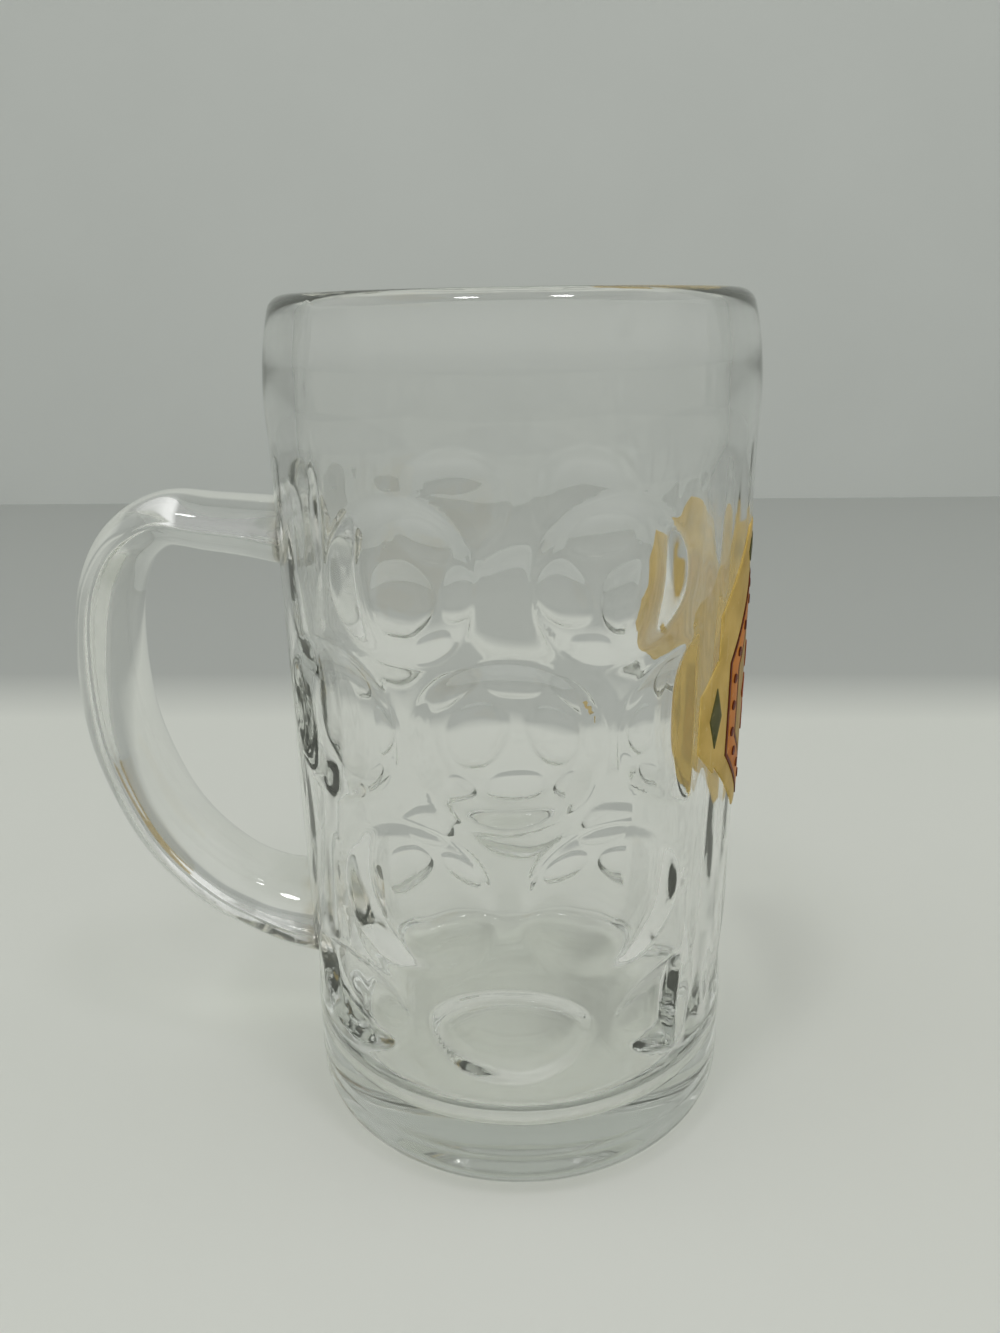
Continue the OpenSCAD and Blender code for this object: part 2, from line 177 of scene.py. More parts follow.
# The seams stand out at four places of the outer wall. The inner wall, which no mould touched, wavers, and
# has fine upright cords that are strongest towards the handle and the badge.
SEAM_OUT, SEAM_AT, SEAM_PITCH, SEAM_NEAR, SEAM_BELOW_LIP = 0.2, 45, 90, 0.05, 1
UNEVEN, UNEVEN_LENGTH = 0.5, 20.0
CORD_MIDDLE, CORD_SIDES, CORD_POWER, CORD_ROUND, CORD_UP = 0.08, 0.55, 3, 6.0, 30.0
for v in body_mesh.verts:
    r = math.hypot(v.co.x, v.co.y)
    angle = math.degrees(math.atan2(v.co.y, v.co.x))
    z = v.co.z
    outer = r > OUTER_FROM_R
    if HOLLOWS_FROM < z < SHOULDER_Z and r > INNER_FROM_R:
        pushed = hollows_at(angle, z)[0 if outer else 1]
        if not outer:
            pushed += UNEVEN * wander.noise(v.co / UNEVEN_LENGTH)
            cord = CORD_MIDDLE + CORD_SIDES * abs(v.co.x / r) ** CORD_POWER
            pushed += cord * wander.noise(Vector((v.co.x / CORD_ROUND, v.co.y / CORD_ROUND, z / CORD_UP)))
        v.co.xy *= (r - pushed) / r
    on_seam = beside(angle, SEAM_AT) % SEAM_PITCH < SEAM_NEAR
    if outer and on_seam and HEEL_R < z < MUG_H - SEAM_BELOW_LIP:
        v.co.xy *= 1 + SEAM_OUT / r

bmesh.ops.recalc_face_normals(body_mesh, faces=body_mesh.faces)
bmesh.ops.scale(body_mesh, vec=(MM, MM, MM), verts=body_mesh.verts)


def piece_from(maker, name, material, node):
    """Makes the finished piece of a bmesh, smooth, with its material, in the place of a node."""
    mesh = bpy.data.meshes.new(name)
    maker.to_mesh(mesh)
    maker.free()
    mesh.shade_smooth()
    mesh.materials.append(material)
    piece = bpy.data.objects.new(name, mesh)
    bpy.context.scene.collection.objects.link(piece)
    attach(piece, "root")
    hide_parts(node)


def noise(tree, scale, detail, place):
    """A noise texture of a scale and detail, read at a place."""
    node = tree.nodes.new("ShaderNodeTexNoise")
    node.inputs["Scale"].default_value = scale
    node.inputs["Detail"].default_value = detail
    tree.links.new(place, node.inputs["Vector"])
    return node.outputs["Fac"]


def span(tree, value, low, high, out_low, out_high):
    """A value spread from one range to another, and held at its ends."""
    node = tree.nodes.new("ShaderNodeMapRange")
    for socket, number in (("From Min", low), ("From Max", high),
                           ("To Min", out_low), ("To Max", out_high)):
        node.inputs[socket].default_value = number
    tree.links.new(value, node.inputs["Value"])
    return node.outputs["Result"]


GLASS_IOR, BODY_RIPPLE = 1.52, 0.12
GLASS_CAST, GLASS_DENSITY = (0.57, 0.61, 0.55, 1), 5.5
RIPPLE_SCALE, RIPPLE_DETAIL, RIPPLE_HEIGHT = 45, 1.5, 0.0004
HAZE, HAZE_COLOUR = 0.025, (0.78, 0.83, 0.72, 1)
SHADOW_TINT = (0.81, 0.82, 0.80, 1)


def clear_glass(name, ripple):
    """Clear glass with a faint grey-green cast, slightly uneven faces and the thin haze of long use."""
    material = bpy.data.materials.new(name)
    material.use_nodes = True
    tree = material.node_tree
    nodes, links = tree.nodes, tree.links
    shader, out = nodes["Principled BSDF"], nodes["Material Output"]
    shader.inputs["Base Color"].default_value = (1, 1, 1, 1)
    shader.inputs["Roughness"].default_value = 0.0
    shader.inputs["IOR"].default_value = GLASS_IOR
    shader.inputs["Transmission Weight"].default_value = 1.0
    place = nodes.new("ShaderNodeTexCoord").outputs["Object"]
    bump = nodes.new("ShaderNodeBump")
    bump.inputs["Strength"].default_value = ripple
    bump.inputs["Distance"].default_value = RIPPLE_HEIGHT
    links.new(noise(tree, RIPPLE_SCALE, RIPPLE_DETAIL, place), bump.inputs["Height"])
    links.new(bump.outputs["Normal"], shader.inputs["Normal"])
    absorb = nodes.new("ShaderNodeVolumeAbsorption")
    absorb.inputs["Color"].default_value = GLASS_CAST
    absorb.inputs["Density"].default_value = GLASS_DENSITY
    links.new(absorb.outputs["Volume"], out.inputs["Volume"])
    haze = nodes.new("ShaderNodeBsdfDiffuse")
    haze.inputs["Color"].default_value = HAZE_COLOUR
    hazy = nodes.new("ShaderNodeMixShader")
    hazy.inputs["Fac"].default_value = HAZE
    links.new(shader.outputs["BSDF"], hazy.inputs[1])
    links.new(haze.outputs["BSDF"], hazy.inputs[2])
    # In shadow rays the glass only tints the light, so the mug throws the pale shadow of glass
    through = nodes.new("ShaderNodeBsdfTransparent")
    through.inputs["Color"].default_value = SHADOW_TINT
    mix = nodes.new("ShaderNodeMixShader")
    links.new(nodes.new("ShaderNodeLightPath").outputs["Is Shadow Ray"], mix.inputs["Fac"])
    links.new(hazy.outputs["Shader"], mix.inputs[1])
    links.new(through.outputs["BSDF"], mix.inputs[2])
    links.new(mix.outputs["Shader"], out.inputs["Surface"])
    return material


body_glass = clear_glass("body_glass", BODY_RIPPLE)
piece_from(body_mesh, "glass_body", body_glass, "mug_body")

# Handle: a second gather of the same glass, drawn into a bow and pressed on the hot wall at both ends,
# where it spreads into a flat root. The tool that closes on it leaves a ridge along both of its flanks.
HANDLE_OUT, ROOT_LOW, ROOT_TOP = 46.0, 46.4, 147.8
HANDLE_T, HANDLE_W, ROOT_W = 18.6, 24.0, 31.0
RIDGE, FUSED = 0.5, 0.06
# Places along the handle from its top root: how far out and up, how thick, and how far spread as at a root,
# each as a share of its full size
HANDLE_SHARES = (
    (-0.11, 0.995, 0.86, 1.0), (0.00, 1.000, 0.81, 0.85), (0.16, 1.010, 0.77, 0.30),
    (0.36, 1.020, 0.73, 0.04), (0.60, 1.030, 0.69, -0.05), (0.79, 0.985, 0.70, -0.05),
    (0.91, 0.905, 0.745, 0.0), (0.975, 0.800, 0.78, 0.0), (1.00, 0.637, 0.83, 0.0),
    (0.97, 0.478, 0.88, 0.0), (0.85, 0.308, 0.93, 0.0), (0.70, 0.190, 0.97, 0.0),
    (0.48, 0.090, 1.00, 0.05), (0.26, 0.034, 1.03, 0.25), (0.05, 0.005, 1.13, 0.80),
    (-0.11, 0.000, 1.20, 1.0))
STRETCH_STEPS, SECTION_SIDES = 10, 80
CAP_SHARES = (0.25, 0.5, 0.75)
LOOK_AHEAD = 0.15
WALL_TRIES, LEAST_CLOSING, CLEAR_OF_WALL = 12, 0.3, 0.4
HANDLE_RIPPLE = 0.3


def share_at(u):
    """The row of handle shares at a place along it, on a smooth curve through the rows."""
    i = int(u)
    t = u - i
    last_row = len(HANDLE_SHARES) - 1
    a, b, c, d = (HANDLE_SHARES[min(max(k, 0), last_row)] for k in (i - 1, i, i + 1, i + 2))
    return [q + 0.5 * t * ((r - p) + t * ((2 * p - 5 * q + 4 * r - s) + t * (3 * (q - r) + s - p)))
            for p, q, r, s in zip(a, b, c, d)]


def handle_line(u):
    """Place of the handle's middle line, outwards and up."""
    shares = share_at(min(max(u, 0), len(HANDLE_SHARES) - 1))
    out = wall_at(ROOT_TOP) + HANDLE_OUT * shares[0]
    return Vector((-out, ROOT_LOW + (ROOT_TOP - ROOT_LOW) * shares[1]))


def handle_ring(u):
    """The ring of points round the handle at a place along it."""
    shares = share_at(u)
    middle = handle_line(u)
    along = (handle_line(u + LOOK_AHEAD) - handle_line(u - LOOK_AHEAD)).normalized()
    half_t = HANDLE_T * shares[2] / 2
    half_w = (HANDLE_W + (ROOT_W - HANDLE_W) * shares[3]) / 2
    quarter = SECTION_SIDES // 4
    ring = []
    for k in range(SECTION_SIDES):
        a = math.tau * k / SECTION_SIDES
        out = half_t * math.cos(a)
        wide = half_w * math.sin(a)
        if k in (quarter, 3 * quarter):
            wide += math.copysign(RIDGE, wide)
        ring.append(Vector((middle.x - along.y * out, wide, middle.y + along.x * out)))
    return ring


def off_wall(p):
    """Distance of a point from the face that the handle's roots lie on."""
    return math.hypot(p.x, p.y) - outer_at(p.z) + FUSED


def drawn_to_wall(ring, ahead):
    """A ring's points moved along the handle until they lie on the wall."""
    seated = []
    for p, q in zip(ring, ahead):
        step = (p - q).normalized()
        place = q.copy()
        for _ in range(WALL_TRIES):
            closing = -(step.x * place.x + step.y * place.y) / math.hypot(place.x, place.y)
            place += step * off_wall(place) / max(LEAST_CLOSING, closing)
        seated.append(place)
    return seated


def laid_on_wall(ring, share):
    """A ring drawn in to a share of its size, on the wall."""
    middle = sum(ring, Vector()) / len(ring)
    flat = [middle.lerp(p, share) for p in ring]
    return [Vector((-math.sqrt((outer_at(p.z) - FUSED) ** 2 - p.y ** 2), p.y, p.z)) for p in flat]


station_count = (len(HANDLE_SHARES) - 1) * STRETCH_STEPS + 1
stations = [handle_ring(n / STRETCH_STEPS) for n in range(station_count)]
clear = [n for n, ring in enumerate(stations) if min(off_wall(p) for p in ring) > CLEAR_OF_WALL]
first, last = clear[0], clear[-1]
top_root = drawn_to_wall(stations[first - 1], stations[first])
low_root = drawn_to_wall(stations[last + 1], stations[last])
handle_rings = [laid_on_wall(top_root, share) for share in CAP_SHARES] + [top_root]
handle_rings += stations[first:last + 1] + [low_root]
handle_rings += [laid_on_wall(low_root, share) for share in reversed(CAP_SHARES)]

handle_mesh = bmesh.new()
loops = []
for ring in handle_rings:
    circle = bmesh.ops.create_circle(handle_mesh, segments=SECTION_SIDES, radius=1)["verts"]
    for v, p in zip(circle, ring):
        v.co = p
    loops.append([handle_mesh.edges.get((circle[k], circle[k - 1])) for k in range(SECTION_SIDES)])
for a, b in zip(loops, loops[1:]):
    bmesh.ops.bridge_loops(handle_mesh, edges=a + b)
for loop in (loops[0], loops[-1]):
    bmesh.ops.contextual_create(handle_mesh, geom=loop)
# The roots' outlines stay sharp, where the handle leaves the wall
for edge in loops[len(CAP_SHARES)] + loops[-1 - len(CAP_SHARES)]:
    edge.smooth = False
bmesh.ops.recalc_face_normals(handle_mesh, faces=handle_mesh.faces)
bmesh.ops.scale(handle_mesh, vec=(MM, MM, MM), verts=handle_mesh.verts)


def mixed(tree, factor, a, b):
    """Mix of two colours, each a socket or a plain colour, by a factor."""
    node = tree.nodes.new("ShaderNodeMix")
    node.data_type = "RGBA"
    tree.links.new(factor, node.inputs["Factor"])
    for name, colour in (("A", a), ("B", b)):
        if isinstance(colour, tuple):
            node.inputs[name].default_value = (*colour, 1)
        else:
            tree.links.new(colour, node.inputs[name])
    return node.outputs["Result"]


def combined(tree, operation, a, b):
    """One value worked out from two, by an operation such as MULTIPLY or MAXIMUM."""
    node = tree.nodes.new("ShaderNodeMath")
    node.operation = operation
    tree.links.new(a, node.inputs[0])
    tree.links.new(b, node.inputs[1])
    return node.outputs["Value"]


DIRT_COLOUR, DIRT_REACH, DIRT_AMOUNT = (0.62, 0.50, 0.28), 0.0025, 0.8
DIRT_SCALE, DIRT_DETAIL, DIRT_FROM, DIRT_FULL = 180, 3, 0.35, 0.65


def dirt_in_creases(material):
    """Tints the glass where it meets the wall, in patches, as old dirt does in the creases of a joint."""
    tree = material.node_tree
    place = tree.nodes.new("ShaderNodeTexCoord").outputs["Object"]
    flat = tree.nodes.new("ShaderNodeVectorMath")
    flat.operation = "MULTIPLY"
    flat.inputs[1].default_value = (1, 1, 0)
    tree.links.new(place, flat.inputs[0])
    length = tree.nodes.new("ShaderNodeVectorMath")
    length.operation = "LENGTH"
    tree.links.new(flat.outputs["Vector"], length.inputs[0])
    wall = wall_at(ROOT_TOP) * MM
    near = span(tree, length.outputs["Value"], wall, wall + DIRT_REACH, DIRT_AMOUNT, 0)
    patches = span(tree, noise(tree, DIRT_SCALE, DIRT_DETAIL, place), DIRT_FROM, DIRT_FULL, 0, 1)
    tint = mixed(tree, combined(tree, "MULTIPLY", near, patches), (1, 1, 1), DIRT_COLOUR)
    tree.links.new(tint, tree.nodes["Principled BSDF"].inputs["Base Color"])


handle_glass = clear_glass("handle_glass", HANDLE_RIPPLE)
dirt_in_creases(handle_glass)
piece_from(handle_mesh, "glass_handle", handle_glass, "handle")

# Enamel ground of the badge: a tall shape with cut corners and a cross band, of ochre ceramic colour. It is
# printed on the smooth panel opposite the handle and fired on, as are the colours that lie on it.
BADGE_Z = 112.0
GROUND_HALF_W, GROUND_UP, GROUND_DOWN = 33.0, 39.3, 28.0
BAND_HALF_W, BAND_HALF_H = 40.0, 13.0
CORNER_SHARE = 0.5
GROUND_T, COLOUR_T, SUNK = 0.3, 0.25, 0.05
COAT_CELL, EDGE_ROUND, SIDE_STEEP = 1.5, 0.6, 0.5
badge_r = wall_at(BADGE_Z)


def flat_shape(maker, corners, hole=None):
    """A flat face with these corners, or the ring between them and a hole of as many corners."""
    rims = []
    for outline in [corners] + ([hole] if hole else []):
        verts = [maker.verts.new((x, y, 0)) for x, y in outline]
        rims.append([maker.edges.new((verts[k - 1], verts[k])) for k in range(len(verts))])
    if hole:
        bmesh.ops.bridge_loops(maker, edges=rims[0] + rims[1])
    else:
        bmesh.ops.contextual_create(maker, geom=rims[0])


def coat(maker, low, high):
    """Gives flat shapes a thickness and a rounded edge, and wraps them on the wall as a coat of enamel."""
    bmesh.ops.remove_doubles(maker, verts=maker.verts, dist=0.01)
    for axis in (Vector((1, 0, 0)), Vector((0, 1, 0))):
        reach = max(abs(v.co.dot(axis)) for v in maker.verts)
        steps = int(reach / COAT_CELL)
        for k in range(-steps, steps + 1):
            everything = list(maker.verts) + list(maker.edges) + list(maker.faces)
            bmesh.ops.bisect_plane(maker, geom=everything, dist=0.001, plane_co=axis * (k * COAT_CELL),
                                   plane_no=axis)
    bmesh.ops.recalc_face_normals(maker, faces=maker.faces)
    bmesh.ops.reverse_faces(maker, faces=[face for face in maker.faces if face.normal.z > 0])
    base = list(maker.faces)
    top = bmesh.ops.extrude_face_region(maker, geom=base, use_keep_orig=True)["geom"]
    top_verts = [v for v in top if isinstance(v, bmesh.types.BMVert)]
    bmesh.ops.translate(maker, vec=(0, 0, high - low), verts=top_verts)
    bmesh.ops.recalc_face_normals(maker, faces=maker.faces)
    middle = (high - low) / 2
    rim = [e for e in maker.edges if len(e.link_faces) == 2 and min(v.co.z for v in e.verts) > middle
           and min(abs(f.normal.z) for f in e.link_faces) < SIDE_STEEP]
    bmesh.ops.bevel(maker, geom=rim, affect="EDGES", offset=EDGE_ROUND * (high - low), segments=2,
                    profile=0.5, material=-1, clamp_overlap=True)
    for v in maker.verts:
        a, z = v.co.x / badge_r, BADGE_Z + v.co.y
        r = wall_at(z) + low + v.co.z
        v.co = (r * math.cos(a), r * math.sin(a), z)
    bmesh.ops.recalc_face_normals(maker, faces=maker.faces)
    bmesh.ops.scale(maker, vec=(MM, MM, MM), verts=maker.verts)


# Fired enamel, shared by every colour of the badge: cloudy in tone, scratched upright by stacking and
# washing, with pale pits where the coat is worn
CLOUD_SCALE, CLOUD_DETAIL, CLOUD_FROM, CLOUD_FULL = 110, 4, 0.35, 0.7
STREAK_SCALE, STREAK_DETAIL, STREAK_FROM, STREAK_FULL, STREAK_SQUEEZE = 900, 2, 0.55, 0.75, 0.08
PIT_SCALE, PIT_DETAIL, PIT_FROM, PIT_FULL = 650, 3, 0.62, 0.70
GLAZED_ROUGH, WORN_ROUGH, ROUGH_FULL = 0.28, 0.5, 0.5
fired_enamel = bpy.data.node_groups.new("fired_enamel", "ShaderNodeTree")
for socket in ("Colour", "Cloud Colour", "Worn Colour"):
    fired_enamel.interface.new_socket(socket, in_out="INPUT", socket_type="NodeSocketColor")
fired_enamel.interface.new_socket("Wear", in_out="INPUT", socket_type="NodeSocketFloat")
fired_enamel.interface.new_socket("Colour", in_out="OUTPUT", socket_type="NodeSocketColor")
for socket in ("Roughness", "Height"):
    fired_enamel.interface.new_socket(socket, in_out="OUTPUT", socket_type="NodeSocketFloat")
given = fired_enamel.nodes.new("NodeGroupInput")
result = fired_enamel.nodes.new("NodeGroupOutput")
enamel_place = fired_enamel.nodes.new("ShaderNodeTexCoord").outputs["Object"]
upright = fired_enamel.nodes.new("ShaderNodeMapping")
upright.inputs["Scale"].default_value = (1, 1, STREAK_SQUEEZE)
fired_enamel.links.new(enamel_place, upright.inputs["Vector"])
clouds = span(fired_enamel, noise(fired_enamel, CLOUD_SCALE, CLOUD_DETAIL, enamel_place),
              CLOUD_FROM, CLOUD_FULL, 0, 1)
streaks = span(fired_enamel, noise(fired_enamel, STREAK_SCALE, STREAK_DETAIL, upright.outputs["Vector"]),
               STREAK_FROM, STREAK_FULL, 0, 1)
pits = span(fired_enamel, noise(fired_enamel, PIT_SCALE, PIT_DETAIL, enamel_place),
            PIT_FROM, PIT_FULL, 0, 1)
worn = combined(fired_enamel, "MAXIMUM", streaks, pits)
wear = combined(fired_enamel, "MULTIPLY", worn, given.outputs["Wear"])
cloudy = mixed(fired_enamel, clouds, given.outputs["Colour"], given.outputs["Cloud Colour"])
tone = mixed(fired_enamel, wear, cloudy, given.outputs["Worn Colour"])
roughness = span(fired_enamel, wear, 0, ROUGH_FULL, GLAZED_ROUGH, WORN_ROUGH)
for socket, value in (("Colour", tone), ("Roughness", roughness), ("Height", clouds)):
    fired_enamel.links.new(value, result.inputs[socket])

LET_THROUGH, EACH_FACE, ENAMEL_GLOSS = 0.5, 0.5, 0.12
ENAMEL_BUMP, ENAMEL_BUMP_HEIGHT = 0.25, 0.0002


def enamel(name, colour, cloud, worn_colour, wear_amount):
    """Fired enamel of one colour, thin enough to let some light through."""
    material = bpy.data.materials.new(name)
    material.use_nodes = True
    tree = material.node_tree
    shader = tree.nodes["Principled BSDF"]
    group = tree.nodes.new("ShaderNodeGroup")
    group.node_tree = fired_enamel
    for socket, value in (("Colour", colour), ("Cloud Colour", cloud), ("Worn Colour", worn_colour)):
        group.inputs[socket].default_value = (*value, 1)
    group.inputs["Wear"].default_value = wear_amount
    shader.inputs["Specular IOR Level"].default_value = ENAMEL_GLOSS
    bump = tree.nodes.new("ShaderNodeBump")
    bump.inputs["Strength"].default_value = ENAMEL_BUMP
    bump.inputs["Distance"].default_value = ENAMEL_BUMP_HEIGHT
    tree.links.new(group.outputs["Colour"], shader.inputs["Base Color"])
    tree.links.new(group.outputs["Roughness"], shader.inputs["Roughness"])
    tree.links.new(group.outputs["Height"], bump.inputs["Height"])
    tree.links.new(bump.outputs["Normal"], shader.inputs["Normal"])
    # Light crosses both faces of the coat, so each takes half of the colour's share
    each_face = tree.nodes.new("ShaderNodeGamma")
    each_face.inputs["Gamma"].default_value = EACH_FACE
    tree.links.new(group.outputs["Colour"], each_face.inputs["Color"])
    through = tree.nodes.new("ShaderNodeBsdfTranslucent")
    tree.links.new(each_face.outputs["Color"], through.inputs["Color"])
    mix = tree.nodes.new("ShaderNodeMixShader")
    mix.inputs["Fac"].default_value = LET_THROUGH
    tree.links.new(shader.outputs["BSDF"], mix.inputs[1])
    tree.links.new(through.outputs["BSDF"], mix.inputs[2])
    tree.links.new(mix.outputs["Shader"], tree.nodes["Material Output"].inputs["Surface"])
    return material


# The glass side of the ochre ground glows faintly, in place of light that the renderer loses inside the glass
LIFT_COLOUR, LIFT_STRENGTH = (0.95, 0.73, 0.22), 0.3
LIFT_FROM, LIFT_FULL = -0.2, -0.5


def lift_glass_side(material):
    """Brightens the side of a coat that lies on the glass, for the light that the renderer loses there."""
    tree = material.node_tree
    shader = tree.nodes["Principled BSDF"]
    facing = tree.nodes.new("ShaderNodeSeparateXYZ")
    tree.links.new(tree.nodes.new("ShaderNodeTexCoord").outputs["Normal"], facing.inputs["Vector"])
    inward = span(tree, facing.outputs["X"], LIFT_FROM, LIFT_FULL, 0, 1)
    tree.links.new(mixed(tree, inward, (0, 0, 0), LIFT_COLOUR), shader.inputs["Emission Color"])
    shader.inputs["Emission Strength"].default_value = LIFT_STRENGTH


# The cross band joins the tall shape's sides, so both are drawn as one outline
ground_mesh = bmesh.new()
ground_cut = CORNER_SHARE * GROUND_HALF_W
band_cut = CORNER_SHARE * BAND_HALF_H
ground_right = [
    (GROUND_HALF_W - ground_cut, -GROUND_DOWN), (GROUND_HALF_W, ground_cut - GROUND_DOWN),
    (GROUND_HALF_W, -BAND_HALF_H), (BAND_HALF_W - band_cut, -BAND_HALF_H),
    (BAND_HALF_W, band_cut - BAND_HALF_H), (BAND_HALF_W, BAND_HALF_H - band_cut),
    (BAND_HALF_W - band_cut, BAND_HALF_H), (GROUND_HALF_W, BAND_HALF_H),
    (GROUND_HALF_W, GROUND_UP - ground_cut), (GROUND_HALF_W - ground_cut, GROUND_UP)]
flat_shape(ground_mesh, ground_right + [(-x, y) for x, y in reversed(ground_right)])
coat(ground_mesh, -SUNK, GROUND_T)
enamel_ochre = enamel("enamel_ochre", (0.82, 0.60, 0.20), (0.62, 0.43, 0.11), (0.88, 0.72, 0.36), 0.45)
lift_glass_side(enamel_ochre)
piece_from(ground_mesh, "ochre_ground", enamel_ochre, "badge_ground")

# Octagon frame on the ground: an orange bar between two dark lines, with dark dots along its sides. Each
# colour is enamel printed in its turn through a screen and fired on.
FRAME_HALF, FRAME_BAR, LINE_W = 27.4, 7.0, 0.9
FRAME_CUT = 0.6 * FRAME_HALF
CUT_PER_INSET = 2 - math.sqrt(2)
FRAME_SIDES, DOT_R, DOT_STEPS, DOTS_A_SIDE = 8, 1.1, 24, 3
colour_low, colour_high = GROUND_T - SUNK, GROUND_T + COLOUR_T
mark_low, mark_high = colour_high - SUNK, colour_high + COLOUR_T


def frame_corners(inset):
    """Corners of the frame's octagon, drawn in evenly by an inset."""
    half = FRAME_HALF - inset
    cut = FRAME_CUT - inset * CUT_PER_INSET
    right = [(half, half - cut), (half - cut, half)]
    top = right + [(-x, y) for x, y in reversed(right)]
    return top + [(-x, -y) for x, y in top]


frame_mesh = bmesh.new()
flat_shape(frame_mesh, frame_corners(LINE_W), frame_corners(FRAME_BAR - LINE_W))
coat(frame_mesh, colour_low, colour_high)
enamel_orange = enamel("enamel_orange", (0.80, 0.33, 0.05), (0.62, 0.20, 0.025), (0.82, 0.56, 0.25), 0.45)
piece_from(frame_mesh, "orange_frame", enamel_orange, "badge_frame")

lines_mesh = bmesh.new()
for inset in (0, FRAME_BAR - LINE_W):
    flat_shape(lines_mesh, frame_corners(inset), frame_corners(inset + LINE_W))
coat(lines_mesh, colour_low, colour_high)
enamel_dark = enamel("enamel_dark", (0.13, 0.025, 0.012), (0.20, 0.04, 0.015), (0.40, 0.22, 0.10), 0.35)
piece_from(lines_mesh, "dark_frame_lines", enamel_dark, "badge_frame_lines")

dots_mesh = bmesh.new()
bar_middle = FRAME_HALF - FRAME_BAR / 2
bar_cut = FRAME_CUT - FRAME_BAR / 2 * CUT_PER_INSET
for k in range(FRAME_SIDES):
    straight = k % 2 == 0
    away = bar_middle if straight else (2 * bar_middle - bar_cut) / math.sqrt(2)
    length = 2 * (bar_middle - bar_cut) if straight else bar_cut * math.sqrt(2)
    turn = math.tau * k / FRAME_SIDES
    out = Vector((math.cos(turn), math.sin(turn), 0))
    along = Vector((-out.y, out.x, 0))
    for n in range(DOTS_A_SIDE):
        middle = out * away + along * length * ((n + 0.5) / DOTS_A_SIDE - 0.5)
        bmesh.ops.create_circle(dots_mesh, segments=DOT_STEPS, radius=DOT_R, cap_ends=True,
                                matrix=Matrix.Translation(middle))
coat(dots_mesh, mark_low, mark_high)
piece_from(dots_mesh, "dark_frame_dots", enamel_dark, "badge_frame_dots")

# Field inside the frame, pale yellow, with a rosette of eight red petals round a dark heart. The field is
# printed on the ground, and petals and heart on the field, all in fired enamel.
COLOUR_GAP = 0.4
PETALS, PETAL_IN, PETAL_LEN, PETAL_W, BOW_STEPS = 8, 4.2, 11.0, 5.6, 8
HEART_STEPS = 36
field_mesh = bmesh.new()
flat_shape(field_mesh, frame_corners(FRAME_BAR + COLOUR_GAP))
coat(field_mesh, colour_low, colour_high)
enamel_pale = enamel("enamel_pale", (0.66, 0.50, 0.20), (0.52, 0.36, 0.12), (0.40, 0.27, 0.10), 0.35)
piece_from(field_mesh, "pale_field", enamel_pale, "badge_field")

petals_mesh = bmesh.new()
petal_half = PETAL_LEN / 2
bow_r = (petal_half ** 2 + PETAL_W ** 2 / 4) / PETAL_W
bow_angle = math.asin(petal_half / bow_r)
bow_turns = [bow_angle * (2 * k / BOW_STEPS - 1) for k in range(BOW_STEPS + 1)]
bow = [(math.sin(a) * bow_r, math.cos(a) * bow_r - bow_r + PETAL_W / 2) for a in bow_turns]
petal = [(PETAL_IN + petal_half + x, y) for x, y in bow + [(-x, -y) for x, y in bow[1:-1]]]
for k in range(PETALS):
    c = math.cos(math.tau * k / PETALS)
    s = math.sin(math.tau * k / PETALS)
    flat_shape(petals_mesh, [(x * c - y * s, x * s + y * c) for x, y in petal])
coat(petals_mesh, mark_low, mark_high)
enamel_red = enamel("enamel_red", (0.48, 0.09, 0.02), (0.34, 0.05, 0.015), (0.62, 0.40, 0.20), 0.35)
piece_from(petals_mesh, "red_petals", enamel_red, "badge_petals")

heart_mesh = bmesh.new()
bmesh.ops.create_circle(heart_mesh, segments=HEART_STEPS, radius=PETAL_IN - COLOUR_GAP, cap_ends=True)
coat(heart_mesh, mark_low, mark_high)
piece_from(heart_mesh, "dark_heart", enamel_dark, "badge_heart")

# Olive marks of fired enamel, printed on the ground: an upright lozenge at both ends of the cross band, and
# a row of small ones above the frame.
LOZENGE_W, LOZENGE_H = 2.6, 7.0
CREST_COUNT, CREST_PITCH, CREST_HALF = 5, 7.0, 2.6


def lozenge(x, y, wide, high):
    """Corners of a lozenge round a place."""
    return [(x - wide, y), (x, y - high), (x + wide, y), (x, y + high)]


lozenges_mesh = bmesh.new()
for side in (-1, 1):
    flat_shape(lozenges_mesh, lozenge(side * (FRAME_HALF + BAND_HALF_W) / 2, 0, LOZENGE_W, LOZENGE_H))
coat(lozenges_mesh, colour_low, colour_high)
enamel_olive = enamel("enamel_olive", (0.10, 0.11, 0.045), (0.16, 0.16, 0.07), (0.36, 0.32, 0.18), 0.4)
piece_from(lozenges_mesh, "olive_lozenges", enamel_olive, "badge_lozenges")

crest_mesh = bmesh.new()
for n in range(CREST_COUNT):
    sideways = (n - (CREST_COUNT - 1) / 2) * CREST_PITCH
    flat_shape(crest_mesh, lozenge(sideways, (FRAME_HALF + GROUND_UP) / 2, CREST_HALF, CREST_HALF))
coat(crest_mesh, colour_low, colour_high)
piece_from(crest_mesh, "olive_crest", enamel_olive, "badge_crest")

# Table and room wall: a pale table top whose far part, a little behind the mug, is painted darker to the tone
# of the grey wall, as painted shade where the table runs out of the light.
TABLE_LIT, TABLE_DARK, TABLE_HALF, TABLE_DROP = 0.25, 0.32, 1.6, 0.0002
ROOM_WALL_Y, ROOM_WALL_HALF, ROOM_WALL_H = 0.9, 3.0, 2.2
BOARD_T, PAINT_SCALE, PAINT_DETAIL, PAINT_ROUGH, PAINT_GLOSS = 0.03, 6, 3, 0.7, 0.2


